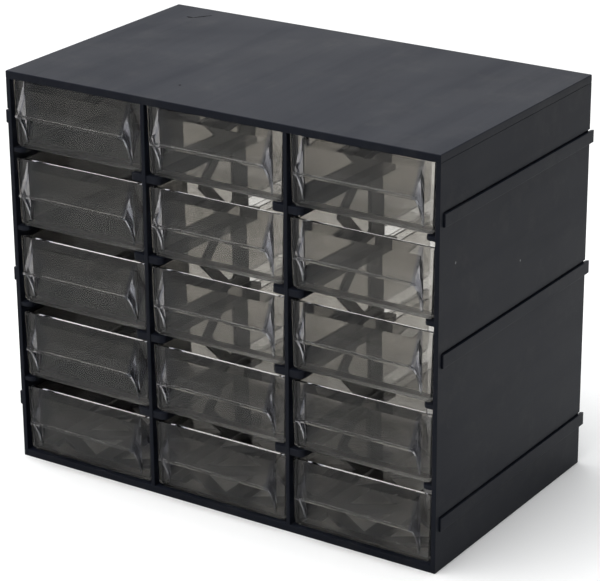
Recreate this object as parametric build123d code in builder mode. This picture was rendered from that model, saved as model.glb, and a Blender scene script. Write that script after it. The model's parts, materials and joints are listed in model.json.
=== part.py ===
from build123d import *
import os

# Parts bin cabinet: a dark moulded case with three columns of five clear drawers.
# Millimetres. X runs across the front, +Y to the back, +Z up. The drawers pull out along -Y.
# The origin is on the surface it stands on, under the middle of the whole cabinet.

# ---- driving dimensions: case ----
CASE_WIDTH = 300.0
CASE_DEPTH = 177.0
CASE_HEIGHT = 252.5
COLUMNS = 3
ROWS = 5
ROW_PITCH = 50.0
WALL = 3.0              # side panel
PARTITION = 2.6
COVER = 4.8
BASE = 4.5

# ---- driving dimensions: drawer ----
DRAWER_HEIGHT = 42.4
DRAWER_DEPTH = 165.0
FRONT_RECESS = 3.0      # flat front stands this far behind the rim of the case
FRONT_GAP = 0.45        # between the top of a front and the case, each side
RUN_GAP = 0.4           # between a drawer and the runner below it
SIDE_DRAFT = 1.0        # each side narrows by this much towards the bottom
FRONT_PLATE = 2.0
SKIN = 1.6              # sides, floor and back of a drawer
FRONT_CORNER = 3.7
TUB_CORNER = 3.2
TUB_BACK_CHAMFER = 1.2
TUB_INSET = 1.05        # the tub is this much narrower than the front, each side
TUB_TOP_STEP = 1.4      # its sides end this far below the top of the front
PULL_WIDTH = 79.0
PULL_REACH = 9.0        # centre of the lip, ahead of the flat front
PULL_DROP = 19.8        # and below the top of the front
PULL_SKIN = 2.7
PULL_SKIN_LIP = 2.4
LIP_RADIUS = 1.1
WEB = 1.5               # end web under the pull
WEB_FOOT = 2.0          # where the web's hollow curve meets the flat front
WEB_CURVE = 42.0        # radius of that curve

# ---- driving dimensions: runners, partitions and rails ----
RUNNER_WIDTH = 9.4      # on a partition
RUNNER_THICK = 4.5
RUNNER_LENGTH = 105.0
SIDE_RUNNER_WIDTH = 7.0 # on a side panel
SIDE_RUNNER_THICK = 2.6
RUNNER_SETBACK = 0.6
RUNNER_NOSE = 3.5
STOP_PROUD = 1.0        # small ledges on the walls that a closed front meets
STOP_DEPTH = 2.0
STOP_GAP = 0.3
STOP_LOW = 24.0         # above the runner
STOP_HEIGHT = 16.0
FRONT_POST = 12.0
REAR_POST = 15.0
GUIDE_STRIP = 7.0       # solid web above each runner
TOP_STRIP = 3.0         # and under the cover
STRUT = 10.0            # along Y
STRUT_TIP = 53.5        # front of the strut's bend, behind the rim
STRUT_RUN = 20.0        # from the bend to where the strut meets a runner
WINDOW_CORNER = 1.5
RIGHT_RAILS = [(25.0, 33.2), (126.0, 134.2), (209.5, 217.3)]    # lower and upper edge of each
LEFT_RAILS = [(34.7, 43.5), (118.0, 126.5), (219.3, 227.4)]
RAIL_PROUD = 1.2
RAIL_SETBACK = 4.0
RAIL_TAB = 2.9          # right-hand rails stand this far out of the back
RAIL_SLOPE = 0.5        # outer edge of a rail's top and bottom, above its root
UNDERCUT = 1.3          # groove along the top of each rail
TONGUE = (16.0, 2.5)    # length along Y and depth, four on each partition
TONGUE_Y = (22.0, 72.0) # their middles, behind the rim
TONGUE_GAP = 0.1

# ---- driving dimensions: base lattice and cover ----
BASE_RIM = 8.0
CENTRE_BAR = 12.0
BRACE = 9.0
BRACE_THICK = 3.0
BRACE_BENDS = 6         # half waves of the zigzag from front to back
POCKET_DEPTH = 2.0
POCKET_RIM = 4.0
COVER_EDGE = 0.6

# ---- derived places ----
LIP_FRONT = PULL_REACH + LIP_RADIUS - FRONT_RECESS
RIM_Y = LIP_FRONT - (LIP_FRONT + CASE_DEPTH + RAIL_TAB) / 2
BACK_Y = RIM_Y + CASE_DEPTH
FRONT_Y = RIM_Y + FRONT_RECESS
INNER_WIDTH = CASE_WIDTH - 2 * WALL
BAY = (INNER_WIDTH - (COLUMNS - 1) * PARTITION) / COLUMNS
COLUMN_PITCH = BAY + PARTITION
COLUMN_X = [(c - (COLUMNS - 1) / 2) * COLUMN_PITCH for c in range(COLUMNS)]
PARTITION_X = [(COLUMN_X[c] + COLUMN_X[c + 1]) / 2 for c in range(COLUMNS - 1)]
LEVELS = [BASE + r * ROW_PITCH for r in range(ROWS)]      # what each row of drawers runs on
CEILING = CASE_HEIGHT - COVER
FRONT_TOP = BAY - 2 * FRONT_GAP
FRONT_BOTTOM = FRONT_TOP - 2 * SIDE_DRAFT

os.makedirs("parts", exist_ok=True)


def finish(part, name):
    """Label a piece and write its file."""
    part.label = name
    export_step(part, f"parts/{name}.step")


def tub_section(top, bottom, low, high, corner):
    """Section with sides that lean in to a round-cornered floor, in a plane's own coordinates."""
    with BuildSketch() as section:
        with BuildLine():
            Polyline((-top / 2, high), (-bottom / 2, low), (bottom / 2, low), (top / 2, high), close=True)
        make_face()
        fillet(section.vertices().group_by(Axis.Y)[0], corner)
    return section.sketch


# ---- drawer: front, tub, sloping pull with a round lip, and a curved web under each end ----
front_outline = tub_section(FRONT_TOP, FRONT_BOTTOM, 0, DRAWER_HEIGHT, FRONT_CORNER)
tub_top = FRONT_TOP - 2 * TUB_INSET
tub_bottom = FRONT_BOTTOM - 2 * TUB_INSET
tub_high = DRAWER_HEIGHT - TUB_TOP_STEP
tub_outline = tub_section(tub_top, tub_bottom, 0, tub_high, TUB_CORNER)
tub_hollow = tub_section(tub_top - 2 * SKIN, tub_bottom - 2 * SKIN, SKIN, tub_high, TUB_CORNER - SKIN)

with BuildPart() as drawer:
    with BuildSketch(Plane.XZ):
        add(front_outline)
    extrude(amount=-FRONT_PLATE)
    with BuildSketch(Plane.XZ.offset(-FRONT_PLATE)):
        add(tub_outline)
    extrude(amount=-(DRAWER_DEPTH - FRONT_PLATE))
    chamfer(drawer.faces().sort_by(Axis.Y)[-1].edges().sort_by(Axis.Z)[:-1], TUB_BACK_CHAMFER)
    with BuildSketch(Plane.XZ.offset(-FRONT_PLATE)):
        add(tub_hollow)
    extrude(amount=-(DRAWER_DEPTH - FRONT_PLATE - SKIN), mode=Mode.SUBTRACT)
    lip_z = DRAWER_HEIGHT - PULL_DROP
    with BuildSketch(Plane.YZ.offset(-PULL_WIDTH / 2)):
        with BuildLine():
            Polyline(
                (0, DRAWER_HEIGHT),
                (-PULL_REACH, lip_z + LIP_RADIUS),
                (-PULL_REACH, lip_z + LIP_RADIUS - PULL_SKIN_LIP),
                (0, DRAWER_HEIGHT - PULL_SKIN * PULL_DROP / PULL_REACH),
                close=True,
            )
        make_face()
        with Locations((-PULL_REACH, lip_z)):
            Circle(LIP_RADIUS)
    extrude(amount=PULL_WIDTH)
    for x in (-PULL_WIDTH / 2, PULL_WIDTH / 2 - WEB):
        with BuildSketch(Plane.YZ.offset(x)):
            with BuildLine():
                Line((0, WEB_FOOT), (0, DRAWER_HEIGHT))
                Line((0, DRAWER_HEIGHT), (-PULL_REACH, lip_z))
                RadiusArc((-PULL_REACH, lip_z), (0, WEB_FOOT), WEB_CURVE)
            make_face()
        extrude(amount=WEB)

for column, x in enumerate(COLUMN_X, start=1):
    for row, level in enumerate(reversed(LEVELS), start=1):
        seat = Location((x, FRONT_Y, level + RUN_GAP))
        finish(drawer.part.moved(seat), f"drawer_c{column}_r{row}")


def runner_outline(x_root, side, width):
    """Plan of a runner that grows from x_root towards side, with a round lead-in."""
    tip = x_root + side * width
    with BuildSketch() as outline:
        with BuildLine():
            Polyline(
                (x_root, RIM_Y + RUNNER_SETBACK),
                (tip, RIM_Y + RUNNER_SETBACK),
                (tip, RIM_Y + RUNNER_LENGTH),
                (x_root, RIM_Y + RUNNER_LENGTH),
                close=True,
            )
        make_face()
        tips = outline.vertices().group_by(Axis.X)[-1 if side > 0 else 0]
        fillet(tips.sort_by(Axis.Y)[0], RUNNER_NOSE)
    return outline.sketch


def runner_set(x_root, side, width, thick):
    """A runner for every row above the lowest, and the stops that the drawer fronts close against."""
    stop_y = FRONT_Y + FRONT_PLATE + STOP_GAP + STOP_DEPTH / 2
    with BuildPart() as runners:
        for level in LEVELS[1:]:
            with BuildSketch(Plane.XY.offset(level)):
                add(runner_outline(x_root, side, width))
            extrude(amount=-thick)
        for level in LEVELS:
            with BuildSketch(Plane.XY.offset(level + STOP_LOW)):
                with Locations((x_root + side * STOP_PROUD / 2, stop_y)):
                    Rectangle(STOP_PROUD, STOP_DEPTH)
            extrude(amount=STOP_HEIGHT)
    return runners.part


# ---- partitions: a front post, a rear post half way back, and a bent strut between runners ----
def window_outline(low, high):
    """The two openings of one bay of a partition, ahead of the bent strut and behind it, seen along X."""
    middle = (low + high) / 2
    tip = RIM_Y + STRUT_TIP
    post = RIM_Y + RUNNER_LENGTH - REAR_POST
    with BuildSketch() as outline:
        with BuildLine():
            Polyline(
                (RIM_Y + FRONT_POST, low),
                (tip + STRUT_RUN, low),
                (tip, middle),
                (tip + STRUT_RUN, high),
                (RIM_Y + FRONT_POST, high),
                close=True,
            )
        make_face()
        with BuildLine():
            Polyline(
                (tip + STRUT + STRUT_RUN, low),
                (post, low),
                (post, high),
                (tip + STRUT + STRUT_RUN, high),
                (tip + STRUT, middle),
                close=True,
            )
        make_face()
        chamfer(outline.vertices(), WINDOW_CORNER)
    return outline.sketch


window_lows = [level + GUIDE_STRIP for level in LEVELS]
window_highs = [level - RUNNER_THICK for level in LEVELS[1:]] + [CEILING - TOP_STRIP]

for number, x in enumerate(PARTITION_X, start=1):
    left_face = x - PARTITION / 2
    with BuildPart() as partition:
        with BuildSketch(Plane.YZ.offset(left_face)):
            with Locations((RIM_Y + RUNNER_LENGTH / 2, (BASE + CEILING) / 2)):
                Rectangle(RUNNER_LENGTH, CEILING - BASE)
        extrude(amount=PARTITION)
        with BuildSketch(Plane.YZ.offset(left_face)):
            for low, high in zip(window_lows, window_highs):
                add(window_outline(low, high))
        extrude(amount=PARTITION, mode=Mode.SUBTRACT)
        for side in (-1, 1):
            add(runner_set(x + side * PARTITION / 2, side, RUNNER_WIDTH, RUNNER_THICK))
        with BuildSketch(Plane.YZ.offset(left_face)):
            for z in (BASE - TONGUE[1] / 2, CEILING + TONGUE[1] / 2):
                with Locations([(RIM_Y + y, z) for y in TONGUE_Y]):
                    Rectangle(*TONGUE)
        extrude(amount=PARTITION)
    finish(partition.part, f"partition_{number}")

# ---- side panels: solid, with runners inside and interlocking rails outside ----
for name, side, rails in (("left_side", -1, LEFT_RAILS), ("right_side", 1, RIGHT_RAILS)):
    outer = side * CASE_WIDTH / 2
    inner = outer - side * WALL
    rail_end = BACK_Y + (RAIL_TAB if side > 0 else 0)
    rail_start = RIM_Y + (RAIL_SETBACK if side > 0 else 0)
    with BuildPart() as panel:
        with BuildSketch():
            with Locations(((outer + inner) / 2, (RIM_Y + BACK_Y) / 2)):
                Rectangle(WALL, CASE_DEPTH)
        extrude(amount=CEILING)
        for low, high in rails:
            with BuildSketch(Plane.XZ.offset(-rail_start)):
                with BuildLine():
                    Polyline(
                        (outer - side * RAIL_PROUD, low),
                        (outer + side * RAIL_PROUD, low + RAIL_SLOPE),
                        (outer + side * RAIL_PROUD, high + RAIL_SLOPE),
                        (outer - side * RAIL_PROUD, high),
                        close=True,
                    )
                make_face()
            extrude(amount=-(rail_end - rail_start))
            with BuildSketch(Plane.XZ.offset(-rail_start)):
                with BuildLine():
                    Polyline(
                        (outer - side * RAIL_PROUD, high),
                        (outer, high + RAIL_SLOPE / 2),
                        (outer, high + UNDERCUT),
                        (outer - side * RAIL_PROUD, high + UNDERCUT),
                        close=True,
                    )
                make_face()
            extrude(amount=-(BACK_Y - rail_start), mode=Mode.SUBTRACT)
        add(runner_set(inner, -side, SIDE_RUNNER_WIDTH, SIDE_RUNNER_THICK))
    finish(panel.part, name)

tongue_spots = [(x, RIM_Y + y) for x in PARTITION_X for y in TONGUE_Y]
slot_size = (PARTITION + 2 * TONGUE_GAP, TONGUE[0] + 2 * TONGUE_GAP)

# ---- base: an open frame between the side panels, braced by zigzags in plan ----
half_bay = (BAY - 2 * RUNNER_WIDTH - CENTRE_BAR) / 2
open_length = CASE_DEPTH - 2 * BASE_RIM
mid_y = (RIM_Y + BACK_Y) / 2
bend = open_length / BRACE_BENDS
opening_spots = [
    (x + side * (CENTRE_BAR + half_bay) / 2, mid_y, side) for x in COLUMN_X for side in (-1, 1)
]

with BuildPart() as base:
    with BuildSketch():
        with Locations((0, mid_y)):
            Rectangle(INNER_WIDTH, CASE_DEPTH)
        with Locations([(x, y) for x, y, side in opening_spots]):
            Rectangle(half_bay, open_length, mode=Mode.SUBTRACT)
    extrude(amount=BASE)
    for x, y, side in opening_spots:
        inner_x = x - side * (half_bay + BRACE) / 2
        outer_x = x + side * (half_bay + BRACE) / 2
        front = RIM_Y + BASE_RIM
        with BuildSketch(Plane.XY.offset(BASE)):
            with BuildLine():
                Polyline([(outer_x if i % 2 else inner_x, front + i * bend) for i in range(BRACE_BENDS + 1)])
            trace(line_width=BRACE)
            with Locations((x, y)):
                Rectangle(half_bay, open_length, mode=Mode.INTERSECT)
        extrude(amount=-BRACE_THICK)
    with BuildSketch(Plane.XY.offset(BASE)):
        with Locations(tongue_spots):
            Rectangle(*slot_size)
    extrude(amount=-(TONGUE[1] + TONGUE_GAP), mode=Mode.SUBTRACT)
finish(base.part, "base")

# ---- top cover: a plain plate with a softened edge and shallow pockets underneath ----
pocket_width = BAY - 2 * POCKET_RIM
with BuildPart() as top_cover:
    with BuildSketch(Plane.XY.offset(CEILING)):
        with Locations((0, mid_y)):
            Rectangle(CASE_WIDTH, CASE_DEPTH)
    extrude(amount=COVER)
    fillet(top_cover.faces().sort_by(Axis.Z)[-1].edges(), COVER_EDGE)
    with BuildSketch(Plane.XY.offset(CEILING)):
        with Locations([(x, mid_y) for x in COLUMN_X]):
            Rectangle(pocket_width, CASE_DEPTH - 2 * POCKET_RIM)
    extrude(amount=POCKET_DEPTH, mode=Mode.SUBTRACT)
    with BuildSketch(Plane.XY.offset(CEILING)):
        with Locations(tongue_spots):
            Rectangle(*slot_size)
    extrude(amount=TONGUE[1] + TONGUE_GAP, mode=Mode.SUBTRACT)
finish(top_cover.part, "top_cover")
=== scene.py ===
"""Parts bin cabinet: a dark moulded case with fifteen clear bins. Metres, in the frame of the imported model."""

import json
import math

import bmesh
import bpy
from mathutils import Matrix, Vector

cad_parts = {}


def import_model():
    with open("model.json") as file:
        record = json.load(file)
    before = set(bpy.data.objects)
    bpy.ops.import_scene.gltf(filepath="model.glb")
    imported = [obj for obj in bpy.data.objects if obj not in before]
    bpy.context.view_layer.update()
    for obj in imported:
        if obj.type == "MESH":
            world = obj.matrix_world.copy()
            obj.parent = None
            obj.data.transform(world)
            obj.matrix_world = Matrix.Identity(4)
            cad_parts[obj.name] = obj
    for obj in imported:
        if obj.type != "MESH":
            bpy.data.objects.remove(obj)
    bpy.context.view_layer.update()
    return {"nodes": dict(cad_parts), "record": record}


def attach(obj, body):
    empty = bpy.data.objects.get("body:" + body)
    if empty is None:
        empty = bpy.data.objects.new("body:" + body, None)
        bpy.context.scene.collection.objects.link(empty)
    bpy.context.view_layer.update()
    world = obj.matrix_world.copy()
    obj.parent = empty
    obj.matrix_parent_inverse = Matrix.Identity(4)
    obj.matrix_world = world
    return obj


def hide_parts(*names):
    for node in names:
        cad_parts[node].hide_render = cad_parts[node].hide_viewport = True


MM = 0.001

# ---- how the pieces are dressed ----
CASE_EDGE = 0.35 * MM  # radius of the case's moulded edges
BIN_EDGE = 0.3 * MM  # radius of the bins' edges
ROUND_STEPS = 2
MOST_CORNERS = 60  # a flat face with more corners than this is cut into triangles before its edges are rounded
SHARPEST_PLAIN = math.radians(28)  # an edge that turns by more than this is rounded
FLAT = math.radians(0.5)  # facets this close to one plane are joined first
WELD = 0.001 * MM  # points closer than this are one point
SMOOTH = math.radians(50)  # an edge that still turns by more than this is shaded sharp

# ---- camera: solved from the corners of the case in the photograph ----
CAMERA_PLACE = Vector((0.8020, -1.2165, 0.6890))
CAMERA_AZIMUTH = math.radians(33.32)
CAMERA_ELEVATION = math.radians(21.53)
CAMERA_ROLL = math.radians(-0.40)
CAMERA_LENS = 153.6
SENSOR = 36.0
CAMERA_NEAR = 0.05

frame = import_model()
nodes = frame["nodes"]
record = frame["record"]
body_of_node = {n: body for body, members in record["behaviour"]["bodies"].items() for n in members}
slot_of_node = {part["node"]: part["material_slot"] for part in record["subparts"]}


def lowest(node, axis):
    """The least X (0), Y (1) or Z (2) of a node."""
    return min(v.co[axis] for v in nodes[node].data.vertices)


BIN_REST = lowest("drawer_c1_r5", 2)  # underside of the lowest bins
BIN_PITCH = lowest("drawer_c1_r4", 2) - BIN_REST  # from one row to the next
BIN_WIDE = lowest("drawer_c2_r5", 0) - lowest("drawer_c1_r5", 0)  # from one column to the next
COLUMNS = 3


# ---- materials ----
class Shade:
    """A small helper that adds nodes to a material and joins them."""

    def __init__(self, name):
        self.material = bpy.data.materials.new(name)
        self.material.use_nodes = True
        self.tree = self.material.node_tree
        self.shader = self.tree.nodes["Principled BSDF"]

    def link(self, source, node, socket):
        if isinstance(source, (int, float, tuple)):
            node.inputs[socket].default_value = source
        else:
            self.tree.links.new(source, node.inputs[socket])

    def place(self, stretch=(1, 1, 1)):
        """Object coordinates, stretched."""
        coords = self.tree.nodes.new("ShaderNodeTexCoord")
        mapping = self.tree.nodes.new("ShaderNodeMapping")
        mapping.inputs["Scale"].default_value = stretch
        self.tree.links.new(coords.outputs["Object"], mapping.inputs["Vector"])
        return mapping.outputs["Vector"]

    def noise(self, scale, detail=2.0, roughness=0.5, distortion=0.0, stretch=(1, 1, 1)):
        node = self.tree.nodes.new("ShaderNodeTexNoise")
        self.link(self.place(stretch), node, "Vector")
        node.inputs["Scale"].default_value = scale
        node.inputs["Detail"].default_value = detail
        node.inputs["Roughness"].default_value = roughness
        node.inputs["Distortion"].default_value = distortion
        return node.outputs["Fac"]

    def between(self, value, low, high, to_low=0.0, to_high=1.0):
        node = self.tree.nodes.new("ShaderNodeMapRange")
        self.link(value, node, "Value")
        for socket, number in zip(("From Min", "From Max", "To Min", "To Max"), (low, high, to_low, to_high)):
            node.inputs[socket].default_value = number
        return node.outputs["Result"]

    def math(self, operation, a, b):
        node = self.tree.nodes.new("ShaderNodeMath")
        node.operation = operation
        self.link(a, node, 0)
        self.link(b, node, 1)
        return node.outputs["Value"]

    def blend(self, share, a, b):
        """Colour a where share is 0, b where it is 1."""
        node = self.tree.nodes.new("ShaderNodeMix")
        node.data_type = "RGBA"
        self.link(share, node, 0)
        for socket, colour in ((6, a), (7, b)):
            if isinstance(colour, tuple):
                colour = (*colour, 1.0)
            self.link(colour, node, socket)
        return node.outputs[2]

    def spots(self, places, uneven):
        """1 inside small oval spots with a ragged edge, 0 elsewhere."""
        found = 0.0
        for centre, turn, half in places:
            mapping = self.tree.nodes.new("ShaderNodeMapping")
            mapping.vector_type = "TEXTURE"
            for socket, numbers in (("Location", centre), ("Rotation", (0, 0, turn)), ("Scale", half)):
                mapping.inputs[socket].default_value = numbers
            self.link(self.place(), mapping, "Vector")
            length = self.tree.nodes.new("ShaderNodeVectorMath")
            length.operation = "LENGTH"
            self.link(mapping.outputs["Vector"], length, 0)
            ragged = self.between(uneven, low=0.2, high=0.8, to_low=-0.5, to_high=0.5)
            edge = self.math("ADD", length.outputs["Value"], ragged)
            found = self.math("MAXIMUM", self.between(edge, low=1.1, high=0.7), found)
        return found

    def bump(self, height, distance, strength=1.0, onto=None):
        node = self.tree.nodes.new("ShaderNodeBump")
        node.inputs["Strength"].default_value = strength
        node.inputs["Distance"].default_value = distance
        self.link(height, node, "Height")
        if onto:
            self.link(onto, node, "Normal")
        return node.outputs["Normal"]


# ---- the case ----
CASE_DARK = (0.0060, 0.0075, 0.0130)
CASE_LIGHT = (0.0120, 0.0140, 0.0205)
CASE_IOR = 1.5
CASE_GLOSS = 0.07  # the grained plastic shines weakly
STREAK_MATT = 0.06  # roughness that the rubbed streaks add
DUST = (0.105, 0.103, 0.095)
MARK = (0.0015, 0.0015, 0.002)
GRIT = (0.30, 0.30, 0.30)
# Small marks on the case: centre, turn about Z, and half sizes.
MARKS = (
    # a scuff in the left back corner of the top
    ((-0.1250, 0.0681, 0.2525), 0.0, (2.9 * MM, 1.1 * MM, 1.0 * MM)),
    # its thin tail
    ((-0.1193, 0.0732, 0.2525), math.radians(56), (7.0 * MM, 0.8 * MM, 1.0 * MM)),
    # a dark speck near the front of the top
    ((-0.0440, -0.0557, 0.2525), 0.0, (1.0 * MM, 0.9 * MM, 1.0 * MM)),
)
# Two pale specks on the right side.
SPECKS = (
    ((0.1500, -0.0683, 0.1850), 0.0, (1.0 * MM, 0.6 * MM, 0.8 * MM)),
    ((0.1500, 0.0070, 0.1620), 0.0, (1.0 * MM, 0.6 * MM, 0.7 * MM)),
)

# ---- the bins ----
BIN_CLEAR = (0.70, 0.69, 0.67)  # the smoke in the plastic
BIN_HAZY = (0.65, 0.64, 0.62)
BIN_IOR = 1.27  # below real polystyrene's 1.59, so that white surroundings don't veil what is behind the fronts
EDGE_PAINTED_HIGHLIGHT_PALE = (0.86, 0.88, 0.99)  # painted highlight: a pale colour on the bins' edges stands for light carried inside the plastic that comes out at its edges
EDGE_PAINTED_HIGHLIGHT_DEEP = (0.60, 0.62, 0.76)
EDGE_IOR = 1.57
EDGE_THROUGH = 0.72  # share of an edge's light that passes through
WEB_PAINTED_SHADE = (0.40, 0.42, 0.50)  # painted shade: a darker tint on the webs at a pull's ends stands for the shade where light has the longest way to go
WEB_START = 36.9 * MM  # from a bin's middle
BIN_FACE = -83.6 * MM  # just ahead of the flat fronts
FOOT_BACK = -74.4 * MM  # the underside is matt from the front back to here
FOOT_BAND = 0.3 * MM  # above and below the underside
FOOT_MATT = 0.6  # roughness of that part
HAZE_MATT = 0.01  # roughness that the haze adds
SCRATCH_MATT = 0.02  # and the scratches


def case_plastic():
    """Blue-black polystyrene: a fine moulded grain, cloudy sheen, thin dust and a few rubbed streaks."""
    s = Shade("case_plastic_look")
    clouds = s.noise(scale=9, detail=4, roughness=0.6, distortion=0.4)
    flow = s.noise(scale=5, detail=3, roughness=0.55, distortion=1.2, stretch=(1, 1, 0.25))
    dust = s.between(s.noise(scale=42, detail=6, roughness=0.7), low=0.52, high=0.86, to_high=0.16)
    colour = s.blend(s.between(clouds, low=0.3, high=0.7), CASE_DARK, CASE_LIGHT)
    uneven = s.noise(scale=900, detail=2, roughness=0.6)
    marks = s.spots(MARKS, uneven)
    colour = s.blend(marks, s.blend(dust, colour, DUST), MARK)
    s.link(s.blend(s.spots(SPECKS, uneven), colour, GRIT), s.shader, "Base Color")
    rubbed = s.noise(scale=60, detail=3, roughness=0.6, stretch=(1, 0.06, 1))
    streaks = s.between(rubbed, low=0.45, high=0.75, to_high=STREAK_MATT)
    sheen = s.math("ADD", s.between(flow, 0.3, 0.7, to_low=0.36, to_high=0.46), streaks)
    s.link(s.math("MAXIMUM", sheen, marks), s.shader, "Roughness")
    grain = s.bump(s.noise(scale=2600, detail=2, roughness=0.6), distance=0.03 * MM, strength=0.5)
    waves = s.bump(s.noise(scale=14), distance=0.4 * MM, strength=0.25, onto=grain)
    s.link(waves, s.shader, "Normal")
    s.shader.inputs["IOR"].default_value = CASE_IOR
    s.shader.inputs["Specular IOR Level"].default_value = CASE_GLOSS
    return s.material


def bin_edge_painted_highlight():
    """The rounded edges of a bin: clear plastic with a painted highlight, a pale colour that makes the edges
    shine, slightly uneven.
    """
    s = Shade("drawer_edge_painted_highlight_look")
    uneven = s.between(s.noise(scale=70, detail=4, roughness=0.6, distortion=0.6), low=0.35, high=0.65)
    # painted highlight: the pale edge colour, lit by the lamps, draws bright lines along every edge
    s.link(s.blend(uneven, EDGE_PAINTED_HIGHLIGHT_DEEP, EDGE_PAINTED_HIGHLIGHT_PALE), s.shader, "Base Color")
    s.link(s.between(uneven, 0.0, 1.0, to_low=0.06, to_high=0.14), s.shader, "Roughness")
    s.shader.inputs["IOR"].default_value = EDGE_IOR
    s.shader.inputs["Transmission Weight"].default_value = EDGE_THROUGH
    return s.material


def bin_plastic():
    """Smoky clear polystyrene, with handling haze, fine scratches, the slight waviness of a thin moulding and
    painted shade on the webs at the pulls' ends.
    """
    s = Shade("drawer_plastic_look")
    haze = s.between(s.noise(scale=30, detail=5, roughness=0.65, distortion=0.5), low=0.42, high=0.8)
    spot = s.tree.nodes.new("ShaderNodeSeparateXYZ")
    s.link(s.place(), spot, 0)
    across, back, up = (spot.outputs[axis] for axis in "XYZ")
    column = s.math("MODULO", s.math("ADD", across, COLUMNS / 2 * BIN_WIDE), BIN_WIDE)
    aside = s.math("COMPARE", column, BIN_WIDE / 2)
    aside.node.inputs[2].default_value = WEB_START
    # painted shade: the webs at each pull's ends are tinted darker than the rest of the bin
    web_painted_shade = s.math("MULTIPLY", s.math("SUBTRACT", 1.0, aside), s.math("LESS_THAN", back, BIN_FACE))
    s.link(s.blend(web_painted_shade, s.blend(haze, BIN_CLEAR, BIN_HAZY), WEB_PAINTED_SHADE), s.shader, "Base Color")
    rubbed = s.noise(scale=220, detail=3, roughness=0.6, distortion=0.3, stretch=(0.08, 1, 1))
    scratches = s.between(rubbed, low=0.62, high=0.78, to_high=SCRATCH_MATT)
    rise = s.math("MODULO", s.math("SUBTRACT", up, BIN_REST - FOOT_BAND), BIN_PITCH)
    foot = s.math("MULTIPLY", s.math("LESS_THAN", rise, 2 * FOOT_BAND), s.math("LESS_THAN", back, FOOT_BACK))
    worn = s.math("ADD", s.between(haze, 0.0, 1.0, to_high=HAZE_MATT), scratches)
    s.link(s.math("MAXIMUM", worn, s.math("MULTIPLY", foot, FOOT_MATT)), s.shader, "Roughness")
    waves = s.bump(s.noise(scale=26, distortion=0.3), distance=0.1 * MM, strength=0.3)
    s.link(waves, s.shader, "Normal")
    s.shader.inputs["IOR"].default_value = BIN_IOR
    s.shader.inputs["Transmission Weight"].default_value = 1.0
    return s.material


LOOKS = {"case_plastic": [case_plastic()], "drawer_plastic": [bin_plastic(), bin_edge_painted_highlight()]}


# ---- pieces: each moulding of the frame again, with its outer edges rounded ----
def plain_copy(source):
    """The node's bare shape, without the shading normals it was saved with."""
    mesh = source.data.copy()
    for layer in ("custom_normal", "sharp_edge", "sharp_face"):
        if layer in mesh.attributes:
            mesh.attributes.remove(mesh.attributes[layer])
    return mesh


def rounded_mesh(source, name, radius, edge_slot):
    shape = bmesh.new()
    bare = plain_copy(source)
    shape.from_mesh(bare)
    bpy.data.meshes.remove(bare)
    bmesh.ops.remove_doubles(shape, verts=shape.verts, dist=WELD)
    bmesh.ops.dissolve_limit(shape, angle_limit=FLAT, verts=shape.verts, edges=shape.edges)
    bmesh.ops.triangulate(shape, faces=[f for f in shape.faces if len(f.verts) > MOST_CORNERS])
    outer = [
        e for e in shape.edges if e.is_manifold and e.is_convex and e.calc_face_angle() > SHARPEST_PLAIN
    ]
    bmesh.ops.bevel(
        shape,
        geom=outer,
        offset=radius,
        segments=ROUND_STEPS,
        profile=0.5,
        affect="EDGES",
        clamp_overlap=False,
        material=edge_slot,
    )
    mesh = bpy.data.meshes.new(name)
    shape.to_mesh(mesh)
    shape.free()
    mesh.shade_smooth()
    mesh.set_sharp_from_angle(angle=SMOOTH)
    return mesh


def dress(node, name, radius):
    """A rounded copy of a node, with its material, that moves with the node's body and stands for it."""
    slot = slot_of_node[node]
    looks = LOOKS[slot]
    mesh = rounded_mesh(nodes[node], name, radius, len(looks) - 1)
    piece = bpy.data.objects.new(name, mesh)
    bpy.context.scene.collection.objects.link(piece)
    normals = piece.modifiers.new("flat_faces", "WEIGHTED_NORMAL")
    normals.keep_sharp = True
    mesh.materials.clear()
    for look in looks:
        mesh.materials.append(look)
    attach(piece, body_of_node[node])
    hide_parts(node)


for node, slot in sorted(slot_of_node.items()):
    if slot == "drawer_plastic":
        dress(node, node.replace("drawer", "clear_bin"), BIN_EDGE)
    else:
        dress(node, "moulded_" + node, CASE_EDGE)


# ---- stage: a pale floor, a soft light, a room and the photograph's camera ----
FLOOR_SIZE = 12.0
FLOOR_COLOUR = (0.34, 0.345, 0.35)  # for the light it throws back on the cabinet
FLOOR_SEEN = (0.98, 0.98, 0.98)  # where it is seen, reflected or seen through plastic
FLOOR_ROUGH = 0.9
FLOOR_GLOSS = 0.1
ROOM = (0.955, 0.985, 1.0)
ROOM_LOW = 0.10
ROOM_HIGH = 0.58
BRIGHT_SIDE = Vector((-0.45, 0.78, 0.43))
DIM_UNTIL = 0.1  # the room brightens between these cosines of the angle to its bright side
BRIGHT_FROM = 0.95
WHITE = (1.0, 1.0, 1.0, 1.0)
SHOWING_RAYS = ("Is Camera Ray", "Is Glossy Ray", "Is Transmission Ray")
KEY_PLACE = (-0.3, -0.5, 2.6)
KEY_AIM = (0, 0, 0.1)
KEY_SIZE = 2.6
KEY_WATTS = 105


def floor():
    mesh = bpy.data.meshes.new("floor")
    half = FLOOR_SIZE / 2
    mesh.from_pydata([(-half, -half, 0), (half, -half, 0), (half, half, 0), (-half, half, 0)], [], [(0, 1, 2, 3)])
    plane = bpy.data.objects.new("floor", mesh)
    bpy.context.scene.collection.objects.link(plane)
    s = Shade("floor_look")
    path = s.tree.nodes.new("ShaderNodeLightPath")
    shown = 0.0
    for ray in SHOWING_RAYS:
        shown = s.math("MAXIMUM", path.outputs[ray], shown)
    s.link(s.blend(shown, FLOOR_COLOUR, FLOOR_SEEN), s.shader, "Base Color")
    s.shader.inputs["Roughness"].default_value = FLOOR_ROUGH
    s.shader.inputs["Specular IOR Level"].default_value = FLOOR_GLOSS
    mesh.materials.append(s.material)


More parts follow.
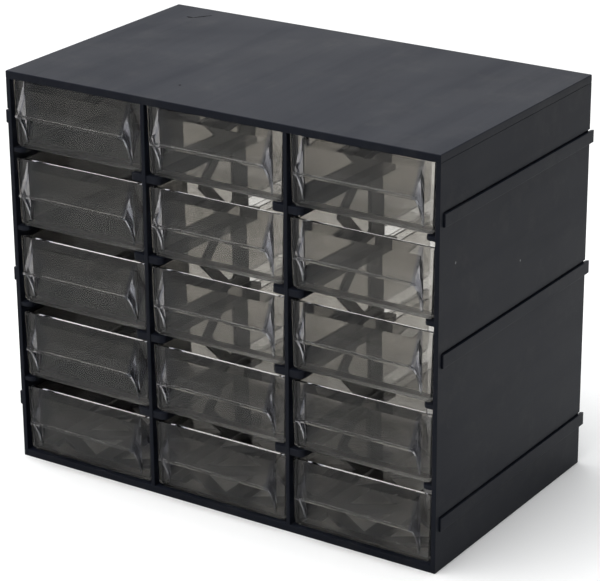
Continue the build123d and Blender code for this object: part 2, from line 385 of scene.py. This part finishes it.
def soft_light(name, place, aim, size, watts):
    lamp = bpy.data.lights.new(name, "AREA")
    lamp.shape = "SQUARE"
    lamp.size = size
    lamp.energy = watts
    light = bpy.data.objects.new(name, lamp)
    light.location = place
    light.rotation_mode = "QUATERNION"
    light.rotation_quaternion = (Vector(aim) - Vector(place)).to_track_quat("-Z", "Y")
    bpy.context.scene.collection.objects.link(light)


def world():
    """A dim room, brighter behind the cabinet, that is white where it is seen, reflected or seen through."""
    sky = bpy.data.worlds.new("studio")
    bpy.context.scene.world = sky
    sky.use_nodes = True
    tree = sky.node_tree
    background = tree.nodes["Background"]
    path = tree.nodes.new("ShaderNodeLightPath")
    coords = tree.nodes.new("ShaderNodeTexCoord")
    towards = tree.nodes.new("ShaderNodeVectorMath")
    towards.operation = "DOT_PRODUCT"
    towards.inputs[1].default_value = BRIGHT_SIDE.normalized()
    tree.links.new(coords.outputs["Generated"], towards.inputs[0])
    level = tree.nodes.new("ShaderNodeMapRange")
    level.interpolation_type = "SMOOTHSTEP"
    limits = (DIM_UNTIL, BRIGHT_FROM, ROOM_LOW, ROOM_HIGH)
    for socket, number in zip(("From Min", "From Max", "To Min", "To Max"), limits):
        level.inputs[socket].default_value = number
    tree.links.new(towards.outputs["Value"], level.inputs["Value"])
    tint = tree.nodes.new("ShaderNodeVectorMath")
    tint.operation = "SCALE"
    tint.inputs[0].default_value = ROOM
    tree.links.new(level.outputs["Result"], tint.inputs["Scale"])
    last = tint.outputs["Vector"]
    for ray in SHOWING_RAYS:
        choice = tree.nodes.new("ShaderNodeMix")
        choice.data_type = "RGBA"
        choice.inputs[7].default_value = WHITE
        tree.links.new(path.outputs[ray], choice.inputs[0])
        tree.links.new(last, choice.inputs[6])
        last = choice.outputs[2]
    tree.links.new(last, background.inputs["Color"])


def camera():
    data = bpy.data.cameras.new("camera")
    data.lens = CAMERA_LENS
    data.sensor_width = SENSOR
    data.clip_start = CAMERA_NEAR
    eye = bpy.data.objects.new("camera", data)
    bpy.context.scene.collection.objects.link(eye)
    level = math.cos(CAMERA_ELEVATION)
    look = Vector(
        (-math.sin(CAMERA_AZIMUTH) * level, math.cos(CAMERA_AZIMUTH) * level, -math.sin(CAMERA_ELEVATION))
    )
    turn = look.to_track_quat("-Z", "Y").to_matrix() @ Matrix.Rotation(CAMERA_ROLL, 3, "Z")
    eye.location = CAMERA_PLACE
    eye.rotation_mode = "QUATERNION"
    eye.rotation_quaternion = turn.to_quaternion()
    bpy.context.scene.camera = eye


floor()
soft_light("key", KEY_PLACE, KEY_AIM, KEY_SIZE, KEY_WATTS)
world()
camera()
bpy.context.scene.view_settings.view_transform = "Standard"
